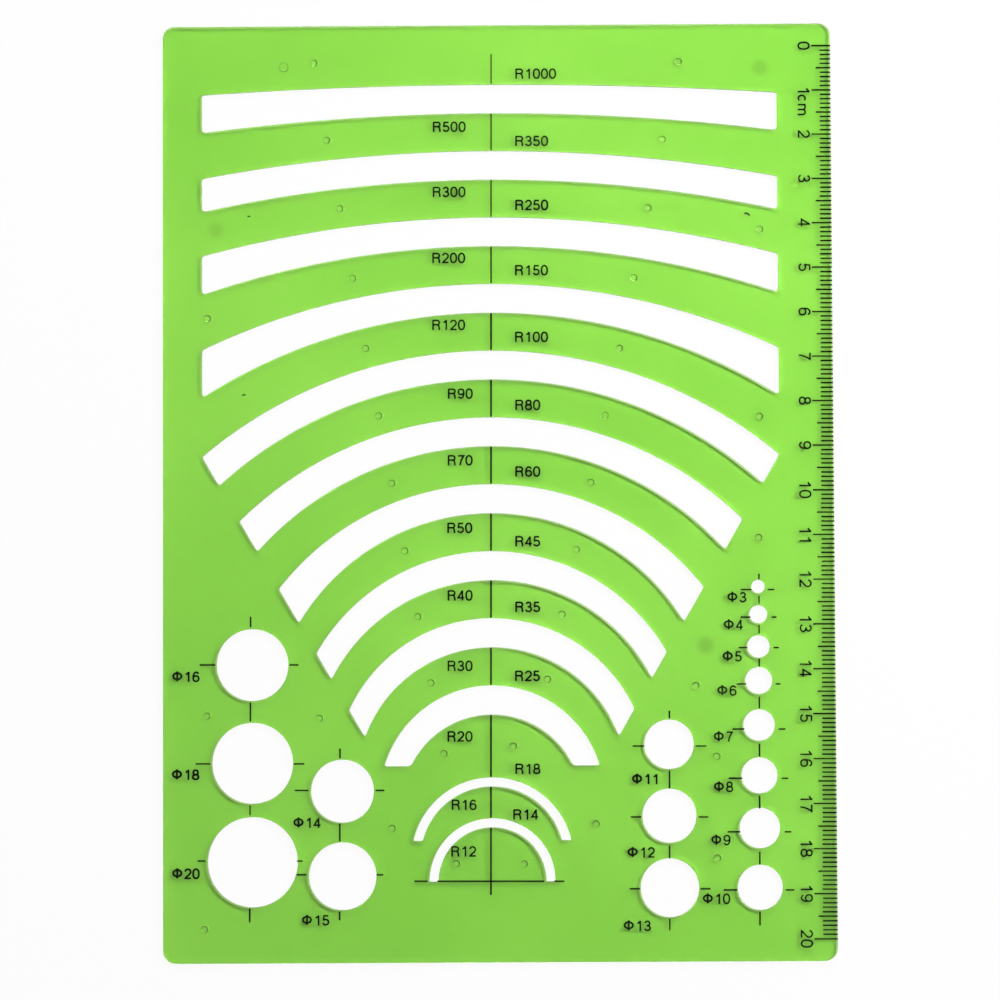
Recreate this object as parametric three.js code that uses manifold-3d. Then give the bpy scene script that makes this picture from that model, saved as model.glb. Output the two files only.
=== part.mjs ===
// Radius template: a flat green drawing template with arc slots, circle holes and a printed scale.
// Millimetres, +Z up. The printed face is up, the scale runs along the +X edge and the largest
// radius is at the +Y end. The origin is on the table, under the middle of the plate.
import * as THREE from "three";
import { mergeVertices } from "three/addons/utils/BufferGeometryUtils.js";
import Module from "manifold-3d";

// Plate
const PLATE_WIDTH = 150;
const PLATE_LENGTH = 210;
const PLATE_THICKNESS = 1.2;
const CORNER_RADIUS = 2.5;
const EDGE_ROUND = 0.35;
const EDGE_STEPS = 3;

// Pips under the plate, which hold it off the paper
const PIP_HEIGHT = 0.25;
const PIP_BASE_RADIUS = 0.9;
const PIP_TIP_RADIUS = 0.6;
const PIP_SIDES = 10;
const PIP_ROOT = 0.15;

// Wide arc slots, from the top edge down: [radius of the upper edge, radius of the lower edge]
const SLOT_RADII = [
  [1000, 500],
  [350, 300],
  [250, 200],
  [150, 120],
  [100, 90],
  [80, 70],
  [60, 50],
  [45, 40],
  [35, 30],
  [25, 20],
];
const SLOT_FIRST_DROP = 13.4;
const SLOT_PITCH = 15;
const SLOT_WIDTH = 6.5;
const SLOT_LEFT_MARGIN = 8.8;
const SLOT_RIGHT_MARGIN = 12.1;
const SLOT_CORNER = 0.5;
// The later slots end on two sloping lines, which start this far from the axis
const FAN_FIRST_SLOT = 4;
const FAN_REACH = 64.55;
const FAN_SLOPE = THREE.MathUtils.degToRad(60);
const LAST_SLOT_DEPTH = 11.4;

// Narrow arc slots round the cross, which stands this far above the bottom edge
const CROSS_HEIGHT = 18;
const INNER_ARC = { outer: 14, inner: 12, rise: 0, endRise: 0 };
const OUTER_ARC = { outer: 18, inner: 16, rise: 5.1, endRise: 9.1 };

// Round holes: [diameter, height of the centre above the bottom edge], in four columns
const LEFT_COLUMNS = [
  { inset: 20, holes: [[16, 66.4], [18, 44.5], [20, 22.5]] },
  { inset: 40, holes: [[14, 38.2], [15, 19.3]] },
];
const RIGHT_COLUMNS = [
  { inset: 37.2, holes: [[11, 48.3], [12, 32.4], [13, 16.4]] },
  {
    inset: 17.1,
    holes: [[3, 83.4], [4, 77.2], [5, 70], [6, 62.4], [7, 52.5], [8, 41.3], [9, 29.6], [10, 16.4]],
  },
];

// Pips: a pair in each band between two slots, on two lines that close in towards the cross
const BAND_PIPS = { left: 36.6, leftStep: 2.87, right: 38.8, rightStep: 3.3 };
// Single pips: from the left edge or the right edge and up from the bottom, or round the cross
const LEFT_PIPS = [[33.9, 201.7], [9.9, 144.1], [9.7, 55], [34.8, 54.4], [9.1, 7.5]];
const RIGHT_PIPS = [
  [34.1, 201.6],
  [16.1, 163.6],
  [16.5, 121.5],
  [16.9, 94.3],
  [31.2, 61.3],
  [26.6, 45.5],
  [26.6, 22.9],
];
const CROSS_PIPS = [[-22.4, 11.8], [23.1, 12.6], [-8.1, 3.9], [7, 3.8], [-10.8, 28.4], [4.7, 30]];

// Print: ink film on the upper face, set slightly turned and shifted on the moulding
const INK_FILM = 0.05;
const INK_LINE = 0.3;
const INK_EDGE_GAP = 0.2;
const PRINT_TURN = THREE.MathUtils.degToRad(-0.27);
const PRINT_SHIFT = new THREE.Vector2(0.1, -0.2);
const BASE_STROKE_LEFT = 3;
const BASE_STROKE_RIGHT = 2.4;
const CROSS_TAIL = 3;
const CENTRE_LINE_RUN = 7;

// Edge scale
const SCALE_LENGTH_CM = 20;
const SCALE_STEP = 10;
const SCALE_DROP = 4.5;
const SCALE_LINE = 0.28;
const CM_MARK = 4.65;
const HALF_MARK = 3.7;

// Facets: the most that a flat facet may stand off its true arc
const FACET_ERROR = 0.03;
const CUT_OVERRUN = 1;

const underside = PIP_HEIGHT;
const topFace = PIP_HEIGHT + PLATE_THICKNESS;
const leftEdge = -PLATE_WIDTH / 2;
const rightEdge = PLATE_WIDTH / 2;
const topEdge = PLATE_LENGTH / 2;
const bottomEdge = -PLATE_LENGTH / 2;
const slotReach = (PLATE_WIDTH - SLOT_LEFT_MARGIN - SLOT_RIGHT_MARGIN) / 2;
const fanReach = Math.min(FAN_REACH, slotReach);
const axisX = leftEdge + SLOT_LEFT_MARGIN + slotReach;
const crossY = bottomEdge + CROSS_HEIGHT;

const wasm = await Module();
wasm.setup();

function solidFrom(geometry) {
  const bare = geometry.clone();
  bare.deleteAttribute("normal");
  bare.deleteAttribute("uv");
  const merged = mergeVertices(bare, 1e-4);
  return new wasm.Manifold(
    new wasm.Mesh({
      numProp: 3,
      vertProperties: merged.attributes.position.array,
      triVerts: new Uint32Array(merged.index.array),
    }),
  );
}

function geometryFrom(solid) {
  const mesh = solid.getMesh();
  const geometry = new THREE.BufferGeometry();
  geometry.setAttribute("position", new THREE.BufferAttribute(mesh.vertProperties, 3));
  geometry.setIndex(new THREE.BufferAttribute(mesh.triVerts, 1));
  geometry.computeVertexNormals();
  return geometry;
}

// Points along an arc, close enough together that no facet stands off it by more than FACET_ERROR.
function arcPoints(centre, radius, from, to) {
  const step = 2 * Math.acos(1 - FACET_ERROR / radius);
  const steps = Math.max(2, Math.ceil(Math.abs(to - from) / step));
  const points = [];
  for (let i = 0; i <= steps; i++) {
    const angle = from + ((to - from) * i) / steps;
    points.push(
      new THREE.Vector2(
        centre.x + radius * Math.cos(angle),
        centre.y + radius * Math.sin(angle),
      ),
    );
  }
  return points;
}

// A rounded corner between two straight or nearly straight runs that meet at the corner point.
function cornerPoints(before, corner, after) {
  return new THREE.QuadraticBezierCurve(before, corner, after).getPoints(3);
}

function prism(points, low, high) {
  const geometry = new THREE.ExtrudeGeometry(new THREE.Shape(points), {
    depth: high - low,
    bevelEnabled: false,
  });
  return geometry.translate(0, 0, low);
}

function cutter(points) {
  return solidFrom(prism(points, -CUT_OVERRUN, topFace + CUT_OVERRUN));
}

// Wide slots: each edge is an arc with its crown on the axis.
function slotEdge(radius, crownY) {
  const centre = new THREE.Vector2(axisX, crownY - radius);
  return {
    radius,
    crownY,
    centre,
    at: (half) => new THREE.Vector2(axisX + radius * Math.sin(half), centre.y + radius * Math.cos(half)),
    heightAt: (offset) => centre.y + Math.sqrt(radius * radius - offset * offset),
  };
}

const slots = SLOT_RADII.map(([upperRadius, lowerRadius], i) => {
  const crownY = topEdge - SLOT_FIRST_DROP - i * SLOT_PITCH;
  return {
    upper: slotEdge(upperRadius, crownY),
    lower: slotEdge(lowerRadius, crownY - SLOT_WIDTH),
  };
});
const lastSlot = slots[slots.length - 1];
const fanStartY = slots[FAN_FIRST_SLOT].upper.heightAt(fanReach);

// How far a point lies past the line that a slot's end follows: upright for the first slots,
// on the fan's slope for the next, and level for the last.
function pastEnd(index, point) {
  const offset = point.x - axisX;
  if (index === slots.length - 1) return lastSlot.lower.crownY - LAST_SLOT_DEPTH - point.y;
  if (index < FAN_FIRST_SLOT) return offset - slotReach;
  return offset - fanReach + (fanStartY - point.y) / Math.tan(FAN_SLOPE);
}

// Half the angle that an edge spans before it meets its end line, found by halving.
function halfSpan(index, edge) {
  let inside = 0;
  let outside = Math.PI / 2;
  if (pastEnd(index, edge.at(outside)) < 0) return outside;
  for (let i = 0; i < 40; i++) {
    const middle = (inside + outside) / 2;
    if (pastEnd(index, edge.at(middle)) < 0) inside = middle;
    else outside = middle;
  }
  return inside;
}

// One end of a slot, from its lower edge to its upper edge, with both corners rounded.
function slotEnd(slot, lowerHalf, upperHalf) {
  const low = slot.lower.at(lowerHalf);
  const high = slot.upper.at(upperHalf);
  const along = high.clone().sub(low).setLength(SLOT_CORNER);
  const lowInside = slot.lower.at(lowerHalf - SLOT_CORNER / slot.lower.radius);
  const highInside = slot.upper.at(upperHalf - SLOT_CORNER / slot.upper.radius);
  return [
    ...cornerPoints(lowInside, low, low.clone().add(along)),
    ...cornerPoints(high.clone().sub(along), high, highInside),
  ];
}

function mirrored(points) {
  return points.map((p) => new THREE.Vector2(2 * axisX - p.x, p.y)).reverse();
}

function slotOutline(slot, index) {
  const upperHalf = halfSpan(index, slot.upper);
  const lowerHalf = halfSpan(index, slot.lower);
  const rightEnd = slotEnd(slot, lowerHalf, upperHalf);
  const upperInside = upperHalf - SLOT_CORNER / slot.upper.radius;
  const lowerInside = lowerHalf - SLOT_CORNER / slot.lower.radius;
  const crown = Math.PI / 2;
  const upperArc = arcPoints(slot.upper.centre, slot.upper.radius, crown - upperInside, crown + upperInside);
  const lowerArc = arcPoints(slot.lower.centre, slot.lower.radius, crown + lowerInside, crown - lowerInside);
  return [...rightEnd, ...upperArc.slice(1, -1), ...mirrored(rightEnd), ...lowerArc.slice(1, -1)];
}

// Narrow slots: two arcs about one centre, cut off level at both ends.
function narrowSlotOutline(arc) {
  const centre = new THREE.Vector2(axisX, crossY + arc.rise);
  const endHeight = arc.endRise - arc.rise;
  const outerStart = Math.asin(endHeight / arc.outer);
  const innerStart = Math.asin(endHeight / arc.inner);
  return [
    ...arcPoints(centre, arc.outer, outerStart, Math.PI - outerStart),
    ...arcPoints(centre, arc.inner, Math.PI - innerStart, innerStart),
  ];
}

function columnHoles(column, x) {
  return column.holes.map(([diameter, height]) => ({
    radius: diameter / 2,
    centre: new THREE.Vector2(x, bottomEdge + height),
  }));
}

const holes = [
  ...LEFT_COLUMNS.flatMap((column) => columnHoles(column, leftEdge + column.inset)),
  ...RIGHT_COLUMNS.flatMap((column) => columnHoles(column, rightEdge - column.inset)),
];

function holeOutline(hole) {
  return arcPoints(hole.centre, hole.radius, 0, 2 * Math.PI).slice(0, -1);
}

// Pips: where they stand under the plate
function bandPips() {
  const places = [];
  for (let i = 1; i < slots.length; i++) {
    const above = slots[i - 1].lower;
    const below = slots[i].upper;
    const left = BAND_PIPS.left - (i - 1) * BAND_PIPS.leftStep;
    const right = BAND_PIPS.right - (i - 1) * BAND_PIPS.rightStep;
    for (const offset of [-left, right]) {
      const middle = (above.heightAt(offset) + below.heightAt(offset)) / 2;
      places.push(new THREE.Vector2(axisX + offset, middle));
    }
  }
  return places;
}

const pipPlaces = [
  ...bandPips(),
  ...LEFT_PIPS.map(([inset, height]) => new THREE.Vector2(leftEdge + inset, bottomEdge + height)),
  ...RIGHT_PIPS.map(([inset, height]) => new THREE.Vector2(rightEdge - inset, bottomEdge + height)),
  ...CROSS_PIPS.map(([offset, rise]) => new THREE.Vector2(axisX + offset, crossY + rise)),
];

// A pip is a blunt cone whose root is sunk into the plate, so that the two join as one moulding.
function pip(place) {
  const height = PIP_HEIGHT + PIP_ROOT;
  const slope = (PIP_BASE_RADIUS - PIP_TIP_RADIUS) / PIP_HEIGHT;
  const rootRadius = PIP_TIP_RADIUS + slope * height;
  const geometry = new THREE.CylinderGeometry(rootRadius, PIP_TIP_RADIUS, height, PIP_SIDES);
  geometry.rotateX(Math.PI / 2);
  return solidFrom(geometry.translate(place.x, place.y, height / 2));
}

function plateOutline() {
  const shape = new THREE.Shape();
  const quarter = Math.PI / 2;
  const corners = [
    [rightEdge - CORNER_RADIUS, topEdge - CORNER_RADIUS, 0],
    [leftEdge + CORNER_RADIUS, topEdge - CORNER_RADIUS, quarter],
    [leftEdge + CORNER_RADIUS, bottomEdge + CORNER_RADIUS, 2 * quarter],
    [rightEdge - CORNER_RADIUS, bottomEdge + CORNER_RADIUS, 3 * quarter],
  ];
  const points = corners.flatMap(([x, y, from]) =>
    arcPoints(new THREE.Vector2(x, y), CORNER_RADIUS, from, from + quarter),
  );
  return shape.setFromPoints(points);
}

function plateGeometry() {
  const blank = new THREE.ExtrudeGeometry(plateOutline(), {
    depth: PLATE_THICKNESS - 2 * EDGE_ROUND,
    bevelThickness: EDGE_ROUND,
    bevelSize: EDGE_ROUND,
    bevelOffset: -EDGE_ROUND,
    bevelSegments: EDGE_STEPS,
  });
  blank.translate(0, 0, underside + EDGE_ROUND);
  let plate = solidFrom(blank);
  for (const place of pipPlaces) plate = plate.add(pip(place));
  const outlines = [
    ...slots.map(slotOutline),
    narrowSlotOutline(OUTER_ARC),
    narrowSlotOutline(INNER_ARC),
    ...holes.map(holeOutline),
  ];
  for (const outline of outlines) plate = plate.subtract(cutter(outline));
  return geometryFrom(plate);
}

const template = new THREE.Group();
const print = new THREE.Group();
print.position.set(axisX + PRINT_SHIFT.x, PRINT_SHIFT.y, topFace);
print.rotation.z = PRINT_TURN;
template.add(print);

function plastic() {
  return new THREE.MeshStandardMaterial({
    color: 0x92e654,
    roughness: 0.22,
    metalness: 0,
    transparent: true,
    opacity: 0.75,
  });
}

function ink() {
  return new THREE.MeshStandardMaterial({ color: 0x121a10, roughness: 0.55, metalness: 0 });
}

const plate = new THREE.Mesh(plateGeometry(), plastic());
plate.name = "plate";
template.add(plate);

// An upright or level ink stroke in the print's own frame, whose x is measured from the centre line.
function strokeBox(left, right, low, high) {
  const geometry = new THREE.BoxGeometry(right - left, high - low, INK_FILM);
  return geometry.translate((left + right) / 2, (low + high) / 2, INK_FILM / 2);
}

function addInk(name, geometry) {
  const mesh = new THREE.Mesh(geometry, ink());
  mesh.name = name;
  print.add(mesh);
}

function twoDigits(number) {
  return String(number).padStart(2, "0");
}

// Centre line: one stroke on each bridge of plate that the axis crosses, from the top edge down.
function addCentreLine() {
  const outerCrown = crossY + OUTER_ARC.rise;
  const bridges = slots.map((slot, i) => ({
    high: i === 0 ? slot.upper.crownY + CENTRE_LINE_RUN : slots[i - 1].lower.crownY,
    low: slot.upper.crownY,
  }));
  bridges.push({ high: lastSlot.lower.crownY, low: outerCrown + OUTER_ARC.outer });
  bridges.push({ high: outerCrown + OUTER_ARC.inner, low: crossY + INNER_ARC.outer });
  bridges.forEach(({ high, low }, i) => {
    const box = strokeBox(-INK_LINE / 2, INK_LINE / 2, low + INK_EDGE_GAP, high - INK_EDGE_GAP);
    addInk("centre_line_" + twoDigits(i + 1), box.translate(0, -PRINT_SHIFT.y, 0));
  });
}

// The cross at the centre of the smallest arcs, and the two strokes that carry its level line on.
function addCross() {
  const reach = INNER_ARC.inner - INK_EDGE_GAP;
  const upright = strokeBox(-INK_LINE / 2, INK_LINE / 2, crossY - CROSS_TAIL, crossY + reach);
  const level = strokeBox(-reach, reach, crossY - INK_LINE / 2, crossY + INK_LINE / 2);
  addInk("arc_centre_cross", geometryFrom(solidFrom(upright).add(solidFrom(level))));
  const start = INNER_ARC.outer + INK_EDGE_GAP;
  const low = crossY - INK_LINE / 2;
  const high = crossY + INK_LINE / 2;
  addInk("base_line_left", strokeBox(-start - BASE_STROKE_LEFT, -start, low, high));
  addInk("base_line_right", strokeBox(start, start + BASE_STROKE_RIGHT, low, high));
}

// Edge scale: every mark starts its own length inside the edge and is trimmed where the edge's
// rounding starts, which the turn of the print moves along the mark.
function addMark(name, drop, length) {
  const y = topEdge - SCALE_DROP - drop;
  const inner = rightEdge - axisX - length;
  const flatEdge = rightEdge - EDGE_ROUND - print.position.x;
  const outer = (flatEdge + y * Math.sin(PRINT_TURN)) / Math.cos(PRINT_TURN);
  addInk(name, strokeBox(inner, outer, y - SCALE_LINE / 2, y + SCALE_LINE / 2));
}

function addScale() {
  for (let cm = 0; cm <= SCALE_LENGTH_CM; cm++) {
    addMark("scale_cm_" + twoDigits(cm), cm * SCALE_STEP, CM_MARK);
  }
  for (let cm = 0; cm < SCALE_LENGTH_CM; cm++) {
    addMark("scale_half_" + twoDigits(cm), (cm + 0.5) * SCALE_STEP, HALF_MARK);
  }
}

addCentreLine();
addCross();
addScale();

export default template;
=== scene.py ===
import math
import random

import bpy
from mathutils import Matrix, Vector
from mathutils.geometry import delaunay_2d_cdt


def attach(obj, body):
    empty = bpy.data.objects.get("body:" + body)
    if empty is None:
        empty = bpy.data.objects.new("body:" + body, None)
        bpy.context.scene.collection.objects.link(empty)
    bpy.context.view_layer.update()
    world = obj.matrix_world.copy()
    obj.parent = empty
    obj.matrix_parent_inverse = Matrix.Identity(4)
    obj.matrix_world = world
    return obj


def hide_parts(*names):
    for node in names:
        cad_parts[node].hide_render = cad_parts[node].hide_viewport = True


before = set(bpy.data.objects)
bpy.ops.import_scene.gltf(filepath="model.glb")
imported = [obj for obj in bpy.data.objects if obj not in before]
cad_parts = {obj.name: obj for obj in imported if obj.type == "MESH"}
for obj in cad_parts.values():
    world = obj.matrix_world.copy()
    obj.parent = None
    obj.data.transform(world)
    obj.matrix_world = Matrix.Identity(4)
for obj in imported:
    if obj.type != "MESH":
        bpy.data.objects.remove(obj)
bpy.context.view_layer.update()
print("frame:", len(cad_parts), "CAD parts")

mm = 0.001
quarter = math.pi / 2
scene = bpy.context.scene
scene.view_settings.view_transform = "Standard"
scene.cycles.blur_glossy = 0    # keeps the lamps' light that comes down through the clear sheet


# the clear green sheet, all in millimetres
sheet = {
    "width": 150, "length": 210, "thickness": 1.2,
    "offPaper": 0.25,       # the pips hold it this far up
    "cornerTop": 2.7, "cornerFoot": 2.95,   # radii of the outline's corners
    "rimRound": 0.16,       # rounding of the outer rim
    "cutRound": 0.14,       # rounding of the slot and hole edges
    "roundSteps": 4,
    "facet": 0.004,         # how far a chord may stand off its arc
    "fewestChords": 4, "cornerChords": 6,
    "weld": 1e-6,           # closer points count as one when the flat faces are filled
}
halfWidth, halfLength = sheet["width"] / 2, sheet["length"] / 2
lowFace = sheet["offPaper"]
topFace = lowFace + sheet["thickness"]


def arcLine(cx, cy, radius, start, end):
    step = 2 * math.acos(1 - sheet["facet"] / radius)
    count = max(sheet["fewestChords"], math.ceil(abs(end - start) / step))
    angles = [start + (end - start) * i / count for i in range(count + 1)]
    return [(cx + radius * math.cos(a), cy + radius * math.sin(a)) for a in angles]


def cornerLine(before, corner, after):   # a soft bend from one edge into the next
    out, count = [], sheet["cornerChords"]
    for i in range(count + 1):
        t = i / count
        p, q, r = (1 - t) ** 2, 2 * t * (1 - t), t * t
        out.append(tuple(p * a + q * b + r * c for a, b, c in zip(before, corner, after)))
    return out


def towards(start, end, distance):
    dx, dy = end[0] - start[0], end[1] - start[1]
    k = distance / math.hypot(dx, dy)
    return (start[0] + dx * k, start[1] + dy * k)


# ten wide arc slots, one below the other
slotPlan = {
    "radii": [(1000, 500), (350, 300), (250, 200), (150, 120), (100, 90),
              (80, 70), (60, 50), (45, 40), (35, 30), (25, 20)],   # upper edge, lower edge
    "firstDrop": 13.4,      # from the sheet's upper end to the first slot
    "pitch": 15, "width": 6.5,
    "axis": -1.65,          # x of the line that all arcs are centred on
    "reach": 64.55,         # from the axis to the end of a square-ended slot
    "fanFirst": 4, "fanSlope": 60,      # slots from this one on end on a sloping line, in degrees
    "lastDepth": 11.4,      # the last slot ends level, this far below its lower edge
    "squareCorner": (0.6, 1.15), "fanCorner": (0.5, 0.85),      # upper, lower
    "halvings": 44,         # steps in the search for a slot's end
}
axisX, fanFirst = slotPlan["axis"], slotPlan["fanFirst"]
lastSlot = len(slotPlan["radii"]) - 1


def slotCrowns(index):   # heights of its two edges on the axis
    high = halfLength - slotPlan["firstDrop"] - slotPlan["pitch"] * index
    return high, high - slotPlan["width"]


def slotEdge(radius, crown, half):
    return (axisX + radius * math.sin(half), crown - radius + radius * math.cos(half))


def edgeHeight(radius, crown, offset):
    return crown - radius + math.sqrt(radius * radius - offset * offset)


fanStart = edgeHeight(slotPlan["radii"][fanFirst][0], slotCrowns(fanFirst)[0], slotPlan["reach"])


def pastSlotEnd(index, point):   # below zero while the point is still inside the slot
    offset = point[0] - axisX
    if index == lastSlot:
        return slotCrowns(lastSlot)[1] - slotPlan["lastDepth"] - point[1]
    if index < fanFirst:
        return offset - slotPlan["reach"]
    slope = math.tan(math.radians(slotPlan["fanSlope"]))
    return offset - slotPlan["reach"] + (fanStart - point[1]) / slope


def halfSpan(index, radius, crown):
    inside, outside = 0.0, quarter
    for step in range(slotPlan["halvings"]):
        middle = (inside + outside) / 2
        if pastSlotEnd(index, slotEdge(radius, crown, middle)) < 0:
            inside = middle
        else:
            outside = middle
    return inside


def mirrored(line):   # the same line on the other side of the axis
    return [(2 * axisX - x, y) for x, y in reversed(line)]


def wideSlot(index):
    (upper, lower), (high, low) = slotPlan["radii"][index], slotCrowns(index)
    upCorner, lowCorner = slotPlan["squareCorner" if index < fanFirst else "fanCorner"]
    upHalf, lowHalf = halfSpan(index, upper, high), halfSpan(index, lower, low)
    upEnd, lowEnd = slotEdge(upper, high, upHalf), slotEdge(lower, low, lowHalf)
    upIn, lowIn = upHalf - upCorner / upper, lowHalf - lowCorner / lower
    rightEnd = cornerLine(slotEdge(lower, low, lowIn), lowEnd, towards(lowEnd, upEnd, lowCorner))
    rightEnd += cornerLine(towards(upEnd, lowEnd, upCorner), upEnd, slotEdge(upper, high, upIn))
    upArc = arcLine(axisX, high - upper, upper, quarter - upIn, quarter + upIn)
    lowArc = arcLine(axisX, low - lower, lower, quarter + lowIn, quarter - lowIn)
    return rightEnd + upArc[1:-1] + mirrored(rightEnd) + lowArc[1:-1]


# two narrow arc slots over the cross, both measured up from it
narrowSlots = {
    "crossHeight": 18, "corner": 0.25,
    "arcs": [{"outer": 18, "inner": 16, "rise": 5.1, "endRise": 9.1},
             {"outer": 14, "inner": 12, "rise": 0, "endRise": 0}],
}
crossY = -halfLength + narrowSlots["crossHeight"]


def narrowSlot(arc):
    cy, corner = crossY + arc["rise"], narrowSlots["corner"]
    level = arc["endRise"] - arc["rise"]
    outer, inner = arc["outer"], arc["inner"]
    outAngle, inAngle = math.asin(level / outer), math.asin(level / inner)
    outEnd = (axisX + outer * math.cos(outAngle), cy + level)
    inEnd = (axisX + inner * math.cos(inAngle), cy + level)
    outIn, inIn = outAngle + corner / outer, inAngle + corner / inner
    outArc = arcLine(axisX, cy, outer, outIn, math.pi - outIn)
    inArc = arcLine(axisX, cy, inner, math.pi - inIn, inIn)
    rightEnd = cornerLine(inArc[-1], inEnd, towards(inEnd, outEnd, corner))
    rightEnd += cornerLine(towards(outEnd, inEnd, corner), outEnd, outArc[0])
    return rightEnd + outArc[1:-1] + mirrored(rightEnd) + inArc[1:-1]


# round holes: x of each column, then diameter and height above the bottom edge
holePlan = {
    -55: [(16, 66.4), (18, 44.5), (20, 22.5)],
    -35: [(14, 38.2), (15, 19.3)],
    37.8: [(11, 48.3), (12, 32.4), (13, 16.4)],
    57.9: [(3, 83.4), (4, 77.2), (5, 70), (6, 62.4), (7, 52.5), (8, 41.3), (9, 29.6), (10, 16.4)],
}


def roundHoles():
    return [arcLine(x, -halfLength + y, diameter / 2, 0, math.tau)[:-1]
            for x, column in holePlan.items() for diameter, y in column]


# low feet under the sheet, each in a shallow moat
pipPlan = {
    "sides": 32,
    "profile": [(1.2, 0, 0), (1.0, -0.13, 0), (0.88, -0.14, 0),     # radius, drop, lean
                (0.72, 0.08, 0.04), (0.58, 0.2, 0.07), (0.38, 0.25, 0.07)],
    "bandLeft": 36.6, "bandLeftStep": 2.87,     # between the slots, from the axis
    "bandRight": 38.8, "bandRightStep": 3.3,
    # the rest: in from a long edge and up from the bottom, or right of the cross and up from it
    "left": [(33.9, 201.7), (9.9, 144.1), (9.7, 55), (34.8, 54.4), (9.1, 7.5)],
    "right": [(34.1, 201.6), (16.1, 163.6), (16.5, 121.5), (16.9, 94.3),
              (31.2, 61.3), (26.6, 45.5), (26.6, 22.9)],
    "cross": [(-22.4, 11.8), (23.1, 12.6), (-8.1, 3.9), (7, 3.8), (-10.8, 28.4), (4.7, 30)],
}
# low round step that the mould left
stepPlan = {"place": (-47.8, 95.8), "radius": 1.05, "drop": 0.22, "wall": 0.02, "sides": 40}


def pipPlaces():
    out, radii = [], slotPlan["radii"]
    for i in range(lastSlot):
        left = pipPlan["bandLeft"] - i * pipPlan["bandLeftStep"]
        right = pipPlan["bandRight"] - i * pipPlan["bandRightStep"]
        for offset in (-left, right):
            above = edgeHeight(radii[i][1], slotCrowns(i)[1], offset)
            below = edgeHeight(radii[i + 1][0], slotCrowns(i + 1)[0], offset)
            out.append((axisX + offset, (above + below) / 2))
    out += [(-halfWidth + x, -halfLength + y) for x, y in pipPlan["left"]]
    out += [(halfWidth - x, -halfLength + y) for x, y in pipPlan["right"]]
    out += [(axisX + x, crossY + y) for x, y in pipPlan["cross"]]
    return out


def underMarks():   # place and sides of each round mark, then radius, height and lean of its rings
    foot = [(r, lowFace - drop, lean) for r, drop, lean in pipPlan["profile"]]
    out = [(place, pipPlan["sides"], foot) for place in pipPlaces()]
    radius, low = stepPlan["radius"], lowFace - stepPlan["drop"]
    step = [(radius, lowFace, 0), (radius - stepPlan["wall"], low, 0), (radius / 2, low, 0)]
    out.append((stepPlan["place"], stepPlan["sides"], step))
    return out


def rimOutline():
    out = []
    for i, (right, up) in enumerate([(1, 1), (-1, 1), (-1, -1), (1, -1)]):
        r = sheet["cornerTop"] if up > 0 else sheet["cornerFoot"]
        cx, cy = right * (halfWidth - r), up * (halfLength - r)
        out += arcLine(cx, cy, r, i * quarter, (i + 1) * quarter)
    return out


def signedArea(loop):
    return sum(a[0] * b[1] - b[0] * a[1] for a, b in zip(loop, loop[1:] + loop[:1])) / 2


def turned(loop, anticlockwise):
    return loop if (signedArea(loop) > 0) == anticlockwise else loop[::-1]


def leftOf(a, b):   # unit vector to the left of the way from a to b
    d = Vector((b[0] - a[0], b[1] - a[1])).normalized()
    return Vector((-d.y, d.x))


def inset(loop, distance):   # moves a loop into the material, which lies on its left
    out, n = [], len(loop)
    for i in range(n):
        x, y = loop[i]
        n1, n2 = leftOf(loop[i - 1], loop[i]), leftOf(loop[i], loop[(i + 1) % n])
        m = (n1 + n2) / (1 + n1.dot(n2))
        out.append((x + m.x * distance, y + m.y * distance))
    return out


def rimRows(radius):   # inset and height of each row, from the upper face round to the lower
    steps = sheet["roundSteps"]
    bend = [(math.sin(quarter * i / steps), math.cos(quarter * i / steps)) for i in range(steps + 1)]
    rows = [(radius * (1 - s), topFace - radius * (1 - c)) for s, c in bend]
    return rows + [(radius * (1 - c), lowFace + radius * (1 - s)) for s, c in bend]


def addObject(name, verts, faces, material, smooth=None):
    mesh = bpy.data.meshes.new(name)
    mesh.from_pydata([(x * mm, y * mm, z * mm) for x, y, z in verts], [], faces)
    if smooth:
        mesh.polygons.foreach_set("use_smooth", smooth)
    mesh.materials.append(material)
    mesh.update()
    obj = bpy.data.objects.new(name, mesh)
    scene.collection.objects.link(obj)
    return obj


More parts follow.
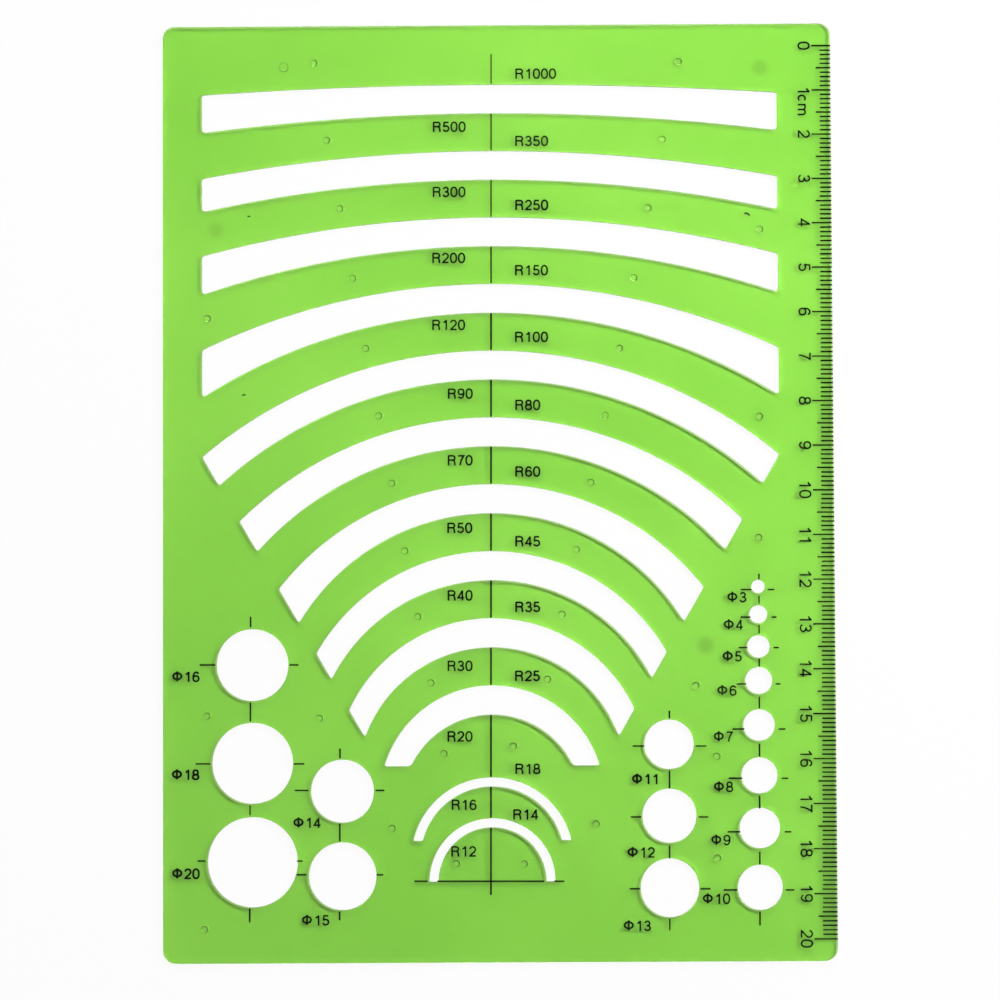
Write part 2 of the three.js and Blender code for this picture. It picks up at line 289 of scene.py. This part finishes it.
def sheetMesh(material):
    verts, faces, smooth = [], [], []
    topRings, lowRings = [], []

    def ringBands(start, count, rows):
        for first in range(start, start + (rows - 1) * count, count):
            second = first + count
            for i in range(count):
                j = (i + 1) % count
                faces.append((first + i, second + i, second + j, first + j))
                smooth.append(True)

    def flatCap(rings, up):   # fills the first ring, and leaves out what lies inside the others
        order = [i for ring in rings for i in ring]
        owner = [k for k, ring in enumerate(rings) for i in ring]
        solid = [signedArea([verts[i][:2] for i in ring]) > 0 for ring in rings]
        edges = []
        for ring in rings:
            first = len(edges)
            edges += [(first + i, first + (i + 1) % len(ring)) for i in range(len(ring))]
        points = [Vector(verts[i][:2]) for i in order]
        insideOnly = 1      # triangles between the edges, none past the outline
        for t in delaunay_2d_cdt(points, edges, [], insideOnly, sheet["weld"])[2]:
            a, b, c = sorted(t)
            leftTurn = signedArea([points[a], points[b], points[c]]) > 0
            if 0 < owner[a] == owner[c] and leftTurn == solid[owner[a]]:
                continue
            a, b, c = order[a], order[b], order[c]
            faces.append((a, b, c) if leftTurn == up else (a, c, b))
            smooth.append(False)

    cuts = [wideSlot(i) for i in range(lastSlot + 1)]
    cuts += [narrowSlot(arc) for arc in narrowSlots["arcs"]] + roundHoles()
    loops = [(turned(rimOutline(), True), sheet["rimRound"])]
    loops += [(turned(cut, False), sheet["cutRound"]) for cut in cuts]
    for loop, radius in loops:
        rows, n, start = rimRows(radius), len(loop), len(verts)
        for distance, z in rows:
            verts.extend((x, y, z) for x, y in inset(loop, distance))
        ringBands(start, n, len(rows))
        topRings.append(list(range(start, start + n)))
        lowRings.append(list(range(len(verts) - n, len(verts))))

    # the marks are part of the moulding, so their skin joins the lower face
    for (px, py), sides, profile in underMarks():
        start = len(verts)
        for radius, z, lean in profile:
            for i in range(sides):
                a = math.tau * i / sides
                verts.append((px + lean + radius * math.cos(a), py + lean + radius * math.sin(a), z))
        ringBands(start, sides, len(profile))
        faces.append(tuple(reversed(range(len(verts) - sides, len(verts)))))
        smooth.append(True)
        lowRings.append(list(range(start, start + sides)))

    flatCap(topRings, True)
    flatCap(lowRings, False)
    obj = addObject("template_sheet", verts, faces, material, smooth)
    print("sheet:", len(verts), "points,", len(cuts), "openings,", len(pipPlaces()), "pips")
    return obj


def newMaterial(name):
    material = bpy.data.materials.new(name)
    material.use_nodes = True
    tree = material.node_tree
    return material, tree, tree.nodes["Principled BSDF"]


def noiseNode(tree, scale, detail, coords):
    node = tree.nodes.new("ShaderNodeTexNoise")
    node.inputs["Scale"].default_value = scale
    node.inputs["Detail"].default_value = detail
    tree.links.new(coords.outputs["Object"], node.inputs["Vector"])
    return node.outputs["Fac"]


def rampNode(tree, source, dark, light, start=0, end=1):
    node = tree.nodes.new("ShaderNodeValToRGB")
    for stop, place, colour in zip(node.color_ramp.elements, (start, end), (dark, light)):
        stop.position, stop.color = place, (*colour, 1)
    tree.links.new(source, node.inputs["Fac"])
    return node.outputs["Color"]


def spread(tree, source, low, high, fromLow=0.3, fromHigh=0.7):
    node = tree.nodes.new("ShaderNodeMapRange")
    values = {"From Min": fromLow, "From Max": fromHigh, "To Min": low, "To Max": high}
    for name, value in values.items():
        node.inputs[name].default_value = value
    tree.links.new(source, node.inputs["Value"])
    return node.outputs["Result"]


# noise is given as scale and detail
greenLook = {
    "tint": (0.568, 0.925, 0.275), "tintDeep": (0.527, 0.885, 0.248),
    "cloud": (16, 2), "cloudStart": 0.35, "cloudEnd": 0.65,     # slow drift of the dye across the moulding
    "paintedShadeDiscs": [(-63.1, 59.05, 2.1, 0.085), (59.2, 95.1, 2.1, 0.125),     # x, y, radius, depth of the painted shade
              (46.15, -34.6, 2.2, 0.145)],
    "discCore": 0.5, "discEdge": 1.2,       # where a disc starts to fade and where it ends, in radii
    "haze": (420, 3), "gloss": (0.03, 0.075),       # handled gloss, as roughness
    "ripple": (45, 1), "rippleStrength": 0.06, "rippleHeight": 0.4,     # moulded sheet is never quite flat
    "bending": 1.5,         # refractive index
}


def clearGreenPlastic():
    material, tree, shader = newMaterial("clearGreenPlastic")
    coords = tree.nodes.new("ShaderNodeTexCoord")
    cloud = noiseNode(tree, *greenLook["cloud"], coords)
    colour = rampNode(tree, cloud, greenLook["tintDeep"], greenLook["tint"],
                      greenLook["cloudStart"], greenLook["cloudEnd"])
    for x, y, radius, depth in greenLook["paintedShadeDiscs"]:    # painted shade: the base colour darkens in soft round discs, standing in for the shading at shallow sinks where ejector pins pressed
        reach = tree.nodes.new("ShaderNodeVectorMath")
        reach.operation = "DISTANCE"
        reach.inputs[1].default_value = (x * mm, y * mm, topFace * mm)
        tree.links.new(coords.outputs["Object"], reach.inputs[0])
        core, edge = radius * mm * greenLook["discCore"], radius * mm * greenLook["discEdge"]
        discShade = tree.nodes.new("ShaderNodeVectorMath")
        discShade.operation = "SCALE"
        tree.links.new(colour, discShade.inputs[0])
        tree.links.new(spread(tree, reach.outputs["Value"], 1 - depth, 1, core, edge), discShade.inputs["Scale"])
        colour = discShade.outputs["Vector"]
    tree.links.new(colour, shader.inputs["Base Color"])
    haze = noiseNode(tree, *greenLook["haze"], coords)
    tree.links.new(spread(tree, haze, *greenLook["gloss"]), shader.inputs["Roughness"])
    bump = tree.nodes.new("ShaderNodeBump")
    bump.inputs["Strength"].default_value = greenLook["rippleStrength"]
    bump.inputs["Distance"].default_value = greenLook["rippleHeight"] * mm
    tree.links.new(noiseNode(tree, *greenLook["ripple"], coords), bump.inputs["Height"])
    tree.links.new(bump.outputs["Normal"], shader.inputs["Normal"])
    shader.inputs["IOR"].default_value = greenLook["bending"]
    shader.inputs["Transmission Weight"].default_value = 1.0
    return material


def grainyFinish(name, look):   # dull and dark, with a fine grain in its colour and gloss
    material, tree, shader = newMaterial(name)
    coords = tree.nodes.new("ShaderNodeTexCoord")
    grain = noiseNode(tree, *look["grain"], coords)
    tree.links.new(rampNode(tree, grain, look["dark"], look["light"]), shader.inputs["Base Color"])
    tree.links.new(spread(tree, grain, *look["roughness"]), shader.inputs["Roughness"])
    shader.inputs["Specular IOR Level"].default_value = look["specular"]
    return material


# the grain is the thin and thick places of a screen print
inkLook = {
    "grain": (2600, 2), "dark": (0.002, 0.004, 0.002), "light": (0.006, 0.010, 0.005),
    "roughness": (0.45, 0.65), "specular": 0.04,
}
greenPlastic = clearGreenPlastic()
ink = grainyFinish("blackInk", inkLook)
sheetObject = sheetMesh(greenPlastic)
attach(sheetObject, "root")
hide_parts("plate")


# the print: u runs right from the centre line, w up from the origin, both in mm
printPlan = {
    "origin": (-1.58, 5.0), "turn": -0.27,      # place on the sheet, degrees
    "film": 0.04, "bite": 0.012,        # thickness, and how deep the ink keys into the sheet
    "lift": 0.0004, "lifts": 9,         # crossing films lie at slightly different heights
    "mitre": 0.35,          # keeps sharp bends from running out to a point
    "endReach": 0.6, "endSteps": (0.55, 0.92),      # soft ends: length in half widths, and where it narrows
    "letterVary": (0.95, 1.06), "seed": 7,
}
rough = random.Random(printPlan["seed"])
printTurn = math.radians(printPlan["turn"])


def onPlate(u, w):
    c, s = math.cos(printTurn), math.sin(printTurn)
    return (printPlan["origin"][0] + u * c - w * s, printPlan["origin"][1] + u * s + w * c)


class InkLayer:   # gathers closed ink films into one mesh
    def __init__(self):
        self.verts, self.faces, self.lift = [], [], 0

    def base(self):
        self.lift = (self.lift + 1) % printPlan["lifts"]
        return topFace - printPlan["bite"] + self.lift * printPlan["lift"]

    def skin(self, start, count, closed=False):   # each station has two points above and two below
        for i in range(count if closed else count - 1):
            a, b = start + 4 * i, start + 4 * ((i + 1) % count)
            self.faces += [(a, a + 1, b + 1, b), (a + 2, b + 2, b + 3, a + 3),
                           (a, b, b + 2, a + 2), (a + 1, a + 3, b + 3, b + 1)]
        if not closed:
            a, b = start, start + 4 * (count - 1)
            self.faces += [(a, a + 2, a + 3, a + 1), (b, b + 1, b + 3, b + 2)]

    def film(self, left, right, closed=False):
        start, low = len(self.verts), self.base()
        for (lx, ly), (rx, ry) in zip(left, right):
            for z in (low + printPlan["film"], low):
                self.verts += [(lx, ly, z), (rx, ry, z)]
        self.skin(start, len(left), closed)

    def stroke(self, points, width, closed=False, softEnds=True):
        half, n = width / 2, len(points)
        left, right = [], []

        def addPair(place, side):
            left.append(tuple(place + side))
            right.append(tuple(place - side))

        def addEnd(place, along, side, steps):
            for k in steps:
                addPair(place + along * half * printPlan["endReach"] * k, side * math.sqrt(1 - k * k))

        for i in range(n):
            here = Vector(points[i])
            isFirst, isLast = not closed and i == 0, not closed and i == n - 1
            d1 = None if isFirst else (here - Vector(points[i - 1])).normalized()
            d2 = None if isLast else (Vector(points[(i + 1) % n]) - here).normalized()
            d1, d2 = d1 or d2, d2 or d1
            n1, n2 = Vector((-d1.y, d1.x)), Vector((-d2.y, d2.x))
            side = (n1 + n2) / max(printPlan["mitre"], 1 + n1.dot(n2)) * half
            if softEnds and isFirst:
                addEnd(here, -d2, side, reversed(printPlan["endSteps"]))
            addPair(here, side)
            if softEnds and isLast:
                addEnd(here, d1, side, printPlan["endSteps"])
        self.film(left, right, closed)

    def finish(self, name, *nodes):
        obj = addObject(name, self.verts, self.faces, ink)
        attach(obj, "root")
        if nodes:
            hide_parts(*nodes)
        print(name + ":", len(self.faces), "faces")


def curve(cx, cy, rx, ry, start, end, count=14):   # degrees, in cap heights
    angles = [math.radians(start + (end - start) * i / count) for i in range(count + 1)]
    return [(cx + rx * math.cos(a), cy + ry * math.sin(a)) for a in angles]


def oval(cx, cy, rx, ry, count=26, square=2.25):   # slightly squared ring
    def squared(value):
        return math.copysign(abs(value) ** (2 / square), value)

    angles = [math.tau * i / count for i in range(count)]
    return [(cx + rx * squared(math.cos(a)), cy + ry * squared(math.sin(a))) for a in angles]


digitStep = 0.783
sixTail = curve(0.365, 0.5, 0.285, 0.44, 200, 38)
letters = {   # one unit is the height of a capital: advance, rings, open strokes
    "0": (digitStep, [oval(0.34, 0.5, 0.28, 0.445)], []),
    "1": (digitStep, [], [[(0.42, 0), (0.42, 0.985)],
                          [(0.40, 0.95), (0.34, 0.85), (0.25, 0.775), (0.14, 0.725)]]),
    "2": (digitStep, [], [curve(0.335, 0.68, 0.265, 0.26, 172, -32)
                          + [(0.44, 0.4), (0.25, 0.235), (0.15, 0.14), (0.10, 0.06), (0.63, 0.06)]]),
    "3": (digitStep, [], [curve(0.325, 0.727, 0.225, 0.213, 165, -90) + [(0.25, 0.514)],
                          [(0.25, 0.514)] + curve(0.325, 0.287, 0.272, 0.227, 90, -165)]),
    "4": (digitStep, [], [[(0.66, 0.27), (0.07, 0.27), (0.45, 0.91)], [(0.48, 0), (0.48, 0.985)]]),
    "5": (digitStep, [], [[(0.585, 0.935), (0.17, 0.935), (0.115, 0.49)],
                          curve(0.33, 0.325, 0.275, 0.265, 142, -160)]),
    "6": (digitStep, [oval(0.345, 0.325, 0.265, 0.265)], [sixTail]),
    "7": (digitStep, [], [[(0.07, 0.935), (0.61, 0.935), (0.47, 0.72), (0.36, 0.47),
                           (0.29, 0.22), (0.265, 0)]]),
    "8": (digitStep, [oval(0.34, 0.727, 0.225, 0.213), oval(0.34, 0.285, 0.275, 0.227)], []),
    "9": (digitStep, [oval(0.335, 0.675, 0.265, 0.265)], [[(0.68 - x, 1 - y) for x, y in sixTail]]),
    "R": (0.978, [], [[(0.11, 0), (0.11, 0.985)],
                      [(0.11, 0.935), (0.49, 0.935)] + curve(0.50, 0.727, 0.225, 0.208, 90, -90)
                      + [(0.11, 0.519)],
                      [(0.48, 0.519), (0.60, 0.49), (0.68, 0.40), (0.71, 0.26), (0.725, 0.08), (0.755, 0)]]),
    "c": (0.90, [], [curve(0.345, 0.385, 0.285, 0.33, 48, 312, 20)]),
    "m": (1.10, [], [[(0.06, 0), (0.06, 0.765)],
                     [(0.06, 0.5)] + curve(0.30, 0.49, 0.24, 0.225, 175, 0) + [(0.54, 0)],
                     [(0.54, 0.5)] + curve(0.78, 0.49, 0.24, 0.225, 175, 0) + [(1.02, 0)]]),
    "Φ": (1.15, [oval(0.46, 0.55, 0.395, 0.30, square=2.05)], [[(0.46, 0.05), (0.46, 1.035)]]),
}
labelPlan = {
    "cap": 2.3, "stroke": 0.355, "heavy": {"Φ": 1.15},
    "radius": [   # text, u, w, weight of the ink
        ("R1000", 5.36, 87.86, 0.98), ("R350", 5.36, 72.64, 1.03), ("R250", 5.36, 58.19, 1.16),
        ("R150", 5.31, 43.48, 1.03), ("R100", 5.31, 28.46, 1.03), ("R80", 5.36, 13.18, 1.11),
        ("R60", 5.36, -1.76, 1.13), ("R45", 5.36, -17.38, 1.03), ("R35", 5.36, -32.05, 1.11),
        ("R25", 5.31, -47.44, 1.18), ("R18", 5.36, -68.15, 1.03), ("R14", 4.9, -78.31, 1.03),
        ("R500", -13.15, 75.85, 1.03), ("R300", -13.17, 61.14, 1.03), ("R200", -13.25, 46.25, 1.03),
        ("R120", -13.25, 31.17, 1.03), ("R90", -9.73, 15.72, 1.03), ("R70", -9.75, 0.77, 1.03),
        ("R50", -9.83, -14.38, 1.08), ("R40", -9.75, -29.48, 1.03), ("R30", -9.75, -45.21, 1.03),
        ("R20", -9.75, -60.93, 1.03), ("R16", -8.82, -76.15, 1.03), ("R12", -8.9, -86.5, 1.03),
    ],
    "diameter": [
        ("Φ16", -71.05, -47.64, 1.16), ("Φ18", -71.03, -69.47, 1.16), ("Φ20", -70.86, -91.47, 1.16),
        ("Φ14", -43.92, -80.15, 1.03), ("Φ15", -41.96, -101.8, 1.03), ("Φ11", 31.47, -70.44, 1.12),
        ("Φ12", 30.46, -86.73, 1.11), ("Φ13", 29.58, -103, 1.03), ("Φ3", 52.8, -29.9, 1.03),
        ("Φ4", 51.99, -36.04, 0.94), ("Φ5", 51.72, -43.1, 0.96), ("Φ6", 50.51, -50.72, 0.94),
        ("Φ7", 49.69, -60.99, 0.94), ("Φ8", 49.7, -72.16, 0.97), ("Φ9", 49.08, -83.99, 0.93),
        ("Φ10", 47.15, -97.02, 1.03),
    ],
}


def setText(layer, text, place, cap, width):   # place turns letter space into print space
    across = 0
    for letter in text:
        advance, rings, strokes = letters[letter]
        heavy = width * labelPlan["heavy"].get(letter, 1) * rough.uniform(*printPlan["letterVary"])
        for line in rings + strokes:
            points = [onPlate(*place((across + x) * cap, y * cap)) for x, y in line]
            layer.stroke(points, heavy, closed=line in rings, softEnds=False)
        across += advance


def addLabels(name, labels):
    layer = InkLayer()
    for text, u, w, weight in labels:
        width = labelPlan["stroke"] * weight
        setText(layer, text, lambda x, y, u=u, w=w: (u + x, w + y), labelPlan["cap"], width)
    layer.finish(name)


addLabels("radius_labels", labelPlan["radius"])
addLabels("diameter_labels", labelPlan["diameter"])


# centre line, cross and the strokes beside it
centrePlan = {
    "strokes": (0.27, 0.32, 0.31, 0.34, 0.41),      # the print thickens from stroke to stroke, then stays
    "strokeVary": (0.97, 1.03), "firstRun": 7,
    "line": 0.37, "crossRise": 0.03, "crossTail": 3,
    "baseLeft": 2.75, "baseRight": 2.05,
    "edgeGap": 0.2,         # all strokes stop this far from a slot
}


def addCentreLine():
    layer = InkLayer()
    first, second = narrowSlots["arcs"]
    bridges = [(slotCrowns(0)[0] + centrePlan["firstRun"], slotCrowns(0)[0])]
    bridges += [(slotCrowns(i)[1], slotCrowns(i + 1)[0]) for i in range(lastSlot)]
    bridges.append((slotCrowns(lastSlot)[1], crossY + first["rise"] + first["outer"]))
    bridges.append((crossY + first["rise"] + first["inner"], crossY + second["outer"]))
    gap, middle, widths = centrePlan["edgeGap"], printPlan["origin"][1], centrePlan["strokes"]
    for i, (high, low) in enumerate(bridges):
        width = widths[min(i, len(widths) - 1)] * rough.uniform(*centrePlan["strokeVary"])
        layer.stroke([onPlate(0, high - gap - middle), onPlate(0, low + gap - middle)], width)
    nodes = ["centre_line_%02d" % (i + 1) for i in range(len(bridges))]
    layer.finish("centre_line", *nodes)


def addCross():
    layer = InkLayer()
    arc, gap, line = narrowSlots["arcs"][1], centrePlan["edgeGap"], centrePlan["line"]
    w = crossY - printPlan["origin"][1] + centrePlan["crossRise"]
    reach = arc["inner"] - gap
    layer.stroke([onPlate(0, w + reach), onPlate(0, w - centrePlan["crossTail"])], line)
    layer.stroke([onPlate(-reach, w), onPlate(reach, w)], line)
    layer.finish("arc_cross", "arc_centre_cross")
    sides = InkLayer()
    start = arc["outer"] + gap
    sides.stroke([onPlate(-start - centrePlan["baseLeft"], w), onPlate(-start, w)], line)
    sides.stroke([onPlate(start, w), onPlate(start + centrePlan["baseRight"], w)], line)
    sides.finish("base_strokes", "base_line_left", "base_line_right")


addCentreLine()
addCross()


# painted shade: thin dark crescent films at the upper rims of small ring marks that the mould left, where
# the rims shade the sheet
ringShadePlan = {
    "paths": [   # points along each, width
        ([(-56.0, 62.0), (-55.85, 62.07), (-55.65, 62.09), (-55.45, 62.05), (-55.3, 61.97)], 0.32),
        ([(55.42, 61.98), (55.6, 62.12), (55.85, 62.18), (56.1, 62.12), (56.35, 61.97),
          (56.55, 61.78), (56.72, 61.58)], 0.4),
        ([(-57.3, 21.68), (-57.1, 21.8), (-56.85, 21.88), (-56.6, 21.9), (-56.36, 21.86)], 0.32),
    ],
    "endWidth": 0.45,       # share of the width that is left at the ends
    # colours of the painted shade
    "grain": (3000, 2), "dark": (0.004, 0.014, 0.003), "light": (0.016, 0.05, 0.008),
    "roughness": (0.4, 0.6), "specular": 0.5,
}


def addScars():
    layer, thin = InkLayer(), ringShadePlan["endWidth"]
    for path, width in ringShadePlan["paths"]:
        left, right = [], []
        for i, (x, y) in enumerate(path):
            (x0, y0), (x1, y1) = path[max(i - 1, 0)], path[min(i + 1, len(path) - 1)]
            half = width / 2 * (thin + (1 - thin) * math.sin(math.pi * (i + 0.5) / len(path)))
            across = Vector((y0 - y1, x1 - x0)).normalized() * half
            left.append((x + across.x, y + across.y))
            right.append((x - across.x, y - across.y))
        layer.film(left, right)
    # a dark film that paints the ring marks' shade onto the sheet
    shadeFilm = addObject("painted_ring_shade", layer.verts, layer.faces, grainyFinish("paintedRingShade", ringShadePlan))
    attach(shadeFilm, "root")
    print("painted_ring_shade:", len(layer.faces), "faces")


addScars()


# cross-hairs at the holes
hairPlan = {
    "line": 0.36, "lineVary": (0.9, 1.08),
    "level": [   # start, end, height
        (-64.93, -61.58, -43.85), (-44.84, -43.06, -43.85), (-65.74, -62.61, -65.9), (-43.89, -41.66, -65.9),
        (-65.21, -63.65, -87.5), (-43.1, -42.0, -87.5), (-43.65, -40.76, -71.8), (-25.61, -23.83, -71.8),
        (-43.16, -41.15, -90.55), (-25.36, -24.02, -90.55), (31.64, 34.09, -61.93), (45.67, 47.90, -61.93),
        (31.17, 33.39, -77.7), (46.30, 48.30, -77.7), (30.92, 33.14, -93.65), (46.71, 48.71, -93.65),
        (55.80, 58.03, -27.04), (61.82, 63.16, -27.04), (55.78, 57.79, -33.2), (62.7, 63.6, -33.2),
        (55.31, 57.10, -40.0), (63.1, 64.1, -40.0), (54.84, 56.85, -48.1), (63.54, 64.43, -48.1),
        (53.92, 56.37, -58.15), (64.17, 65.51, -58.15), (53.00, 55.89, -69.1), (64.80, 66.13, -69.1),
        (52.75, 55.41, -81.0), (65.43, 66.76, -81.0), (51.82, 54.71, -93.9), (65.60, 67.38, -93.9),
    ],
    "upright": [   # across, then top and bottom of each
        (-53.65, [(-33.14, -35.37), (-52.33, -56.34), (-75.26, -77.26), (-98.13, -101.01)]),
        (-33.65, [(-62.58, -64.58), (-79.26, -83.04), (-98.79, -100.56)]),
        (39.75, [(-54.14, -55.69), (-67.49, -71.27), (-84.16, -86.82), (-100.35, -102.78)]),
        (59.8, [(-23.58, -24.69), (-28.49, -30.05), (-34.97, -36.75), (-42.55, -44.11), (-51.02, -53.47),
                (-61.49, -64.16), (-73.05, -75.72), (-85.49, -88.15), (-98.80, -101.68)]),
    ],
}


def addCrossHairs():
    layer = InkLayer()
    ends = [((start, w), (end, w)) for start, end, w in hairPlan["level"]]
    ends += [((u, high), (u, low)) for u, runs in hairPlan["upright"] for high, low in runs]
    for start, end in ends:
        width = hairPlan["line"] * rough.uniform(*hairPlan["lineVary"])
        layer.stroke([onPlate(*start), onPlate(*end)], width)
    layer.finish("hole_cross_hairs")


addCrossHairs()


# edge scale: marks run over the rounded rim
scalePlan = {
    "zero": 95.28, "length": 200,       # w of the first mark, then one mark for each millimetre
    "cmStart": 71.95, "halfStart": 72.91, "mmStart": 73.85,
    "line": 0.34, "lineVary": (0.9, 1.1), "placeVary": 0.02, "startVary": 0.06,
    "softStart": [(-0.55, 0.4), (-0.2, 0.85), (0.3, 1.0)],      # place and spread, in half widths
    "edgeSwell": 1.12, "swellRun": 0.25,        # wider on the rim
    "rimAngles": (0, 22, 45, 68, 86),
    "numberBase": 68.85, "numberCap": 2.72, "numberStroke": 0.36,
    "cmTop": 84.18, "cmCap": 2.33,      # the unit after the 1
}
lastCm = scalePlan["length"] // 10


def addScaleMarks():
    layer = InkLayer()
    radius, slope = sheet["rimRound"], math.tan(printTurn)
    flatEnd = halfWidth - radius
    place, early = scalePlan["placeVary"], scalePlan["startVary"]
    for n in range(scalePlan["length"] + 1):
        kind = "cmStart" if n % 10 == 0 else "halfStart" if n % 5 == 0 else "mmStart"
        w = scalePlan["zero"] - n + rough.uniform(-place, place)
        half = scalePlan["line"] / 2 * rough.uniform(*scalePlan["lineVary"])
        x0, y0 = onPlate(scalePlan[kind] + rough.uniform(-early, early), w)
        stations = [(x0 + half * along, 0, wide) for along, wide in scalePlan["softStart"]]
        stations.append((flatEnd - scalePlan["swellRun"], 0, 1.0))
        stations += [(flatEnd, math.radians(a), scalePlan["edgeSwell"]) for a in scalePlan["rimAngles"]]
        base, first = layer.base() - topFace, len(layer.verts)
        for x, bend, wide in stations:
            for lift in (base + printPlan["film"], base):
                reach = radius + lift
                px, pz = x + reach * math.sin(bend), topFace - radius + reach * math.cos(bend)
                py = y0 + (px - x0) * slope
                layer.verts += [(px, py + half * wide, pz), (px, py - half * wide, pz)]
        layer.skin(first, len(stations))
    nodes = ["scale_cm_%02d" % i for i in range(lastCm + 1)]
    nodes += ["scale_half_%02d" % i for i in range(lastCm)]
    layer.finish("scale_marks", *nodes)


def textMiddle(text):
    xs, across = [], 0
    for letter in text:
        advance, rings, strokes = letters[letter]
        xs += [across + x for line in rings + strokes for x, y in line]
        across += advance
    return (min(xs) + max(xs)) / 2


def addScaleNumbers():
    layer = InkLayer()
    base, stroke = scalePlan["numberBase"], scalePlan["numberStroke"]
    cap = scalePlan["numberCap"]
    for n in range(lastCm + 1):
        top = scalePlan["zero"] - 10 * n + textMiddle(str(n)) * cap
        setText(layer, str(n), lambda x, y, top=top: (base + y, top - x), cap, stroke)
    setText(layer, "cm", lambda x, y: (base + y, scalePlan["cmTop"] - x), scalePlan["cmCap"], stroke)
    layer.finish("scale_numbers")


addScaleMarks()
addScaleNumbers()


# stage: pale floor, a soft light on the right, a weaker one beyond the upper end, even fill
stagePlan = {
    "floorColour": (0.95, 0.95, 0.95), "floorRoughness": 0.9, "floorSize": 6,
    "floorDrop": 0.03,      # mm below the pips, so that the faces don't share a plane
    "floorWhite": 0.94,         # share of plain white, seen directly
    "floorWhiteThrough": 0.08,  # the same, seen by way of the sheet
    # name, place in metres, size, and how bright the lamp makes a white floor
    "lamps": [("softKey", (0.40, 0.11, 0.37), 0.24, 0.45),
              ("softTop", (-0.05, 0.43, 0.42), 0.28, 0.285)],
    "fill": 0.205,
}


def paleFloor():
    material, tree, shader = newMaterial("paleFloor")
    shader.inputs["Base Color"].default_value = (*stagePlan["floorColour"], 1)
    shader.inputs["Roughness"].default_value = stagePlan["floorRoughness"]
    shader.inputs["Specular IOR Level"].default_value = 0.0
    path = tree.nodes.new("ShaderNodeLightPath")
    white = tree.nodes.new("ShaderNodeEmission")
    blend = tree.nodes.new("ShaderNodeMixShader")

    def mathNode(operation):
        node = tree.nodes.new("ShaderNodeMath")
        node.operation = operation
        return node

    shares = []
    rays = {"Is Camera Ray": "floorWhite", "Is Transmission Ray": "floorWhiteThrough",
            "Is Glossy Ray": "floorWhiteThrough"}
    for ray, share in rays.items():
        node = mathNode("MULTIPLY")
        node.inputs[1].default_value = stagePlan[share]
        tree.links.new(path.outputs[ray], node.inputs[0])
        shares.append(node.outputs["Value"])
    while len(shares) > 1:      # the largest share counts
        node = mathNode("MAXIMUM")
        tree.links.new(shares.pop(), node.inputs[0])
        tree.links.new(shares.pop(), node.inputs[1])
        shares.append(node.outputs["Value"])
    tree.links.new(shares[0], blend.inputs["Fac"])
    tree.links.new(shader.outputs["BSDF"], blend.inputs[1])
    tree.links.new(white.outputs["Emission"], blend.inputs[2])
    tree.links.new(blend.outputs["Shader"], tree.nodes["Material Output"].inputs["Surface"])
    return material


def addStage():
    size, z = stagePlan["floorSize"] / 2 / mm, -stagePlan["floorDrop"]
    corners = [(-size, -size, z), (size, -size, z), (size, size, z), (-size, size, z)]
    floor = addObject("floor", corners, [(0, 1, 2, 3)], paleFloor())
    for name, spot, width, share in stagePlan["lamps"]:
        data, place = bpy.data.lights.new(name, "AREA"), Vector(spot)
        data.shape, data.size = "DISK", width
        data.energy = share * math.pi ** 2 * place.length ** 3 / place.z
        lamp = bpy.data.objects.new(name, data)
        lamp.location = place
        lamp.rotation_euler = place.to_track_quat("Z", "Y").to_euler()
        lamp.visible_camera = False
        scene.collection.objects.link(lamp)
    world = bpy.data.worlds.new("studioFill")
    world.use_nodes = True
    background = world.node_tree.nodes["Background"]
    background.inputs["Color"].default_value = (1, 1, 1, 1)
    background.inputs["Strength"].default_value = stagePlan["fill"]
    scene.world = world
    print("stage: floor,", len(stagePlan["lamps"]), "lamps and fill")


# nearly straight down; place in metres, turn in degrees
cameraPlan = {
    "lens": 193.1, "sensor": 36,
    "place": (0.00783, -0.08213, 1.19749), "turn": (3.8313, 0.374, -0.2678),
}


def addCamera():
    data = bpy.data.cameras.new("camera")
    data.sensor_width, data.lens = cameraPlan["sensor"], cameraPlan["lens"]
    camera = bpy.data.objects.new("camera", data)
    camera.location = cameraPlan["place"]
    camera.rotation_euler = [math.radians(a) for a in cameraPlan["turn"]]
    scene.collection.objects.link(camera)
    scene.camera = camera
    print("camera:", cameraPlan["lens"], "mm lens")


addStage()
addCamera()
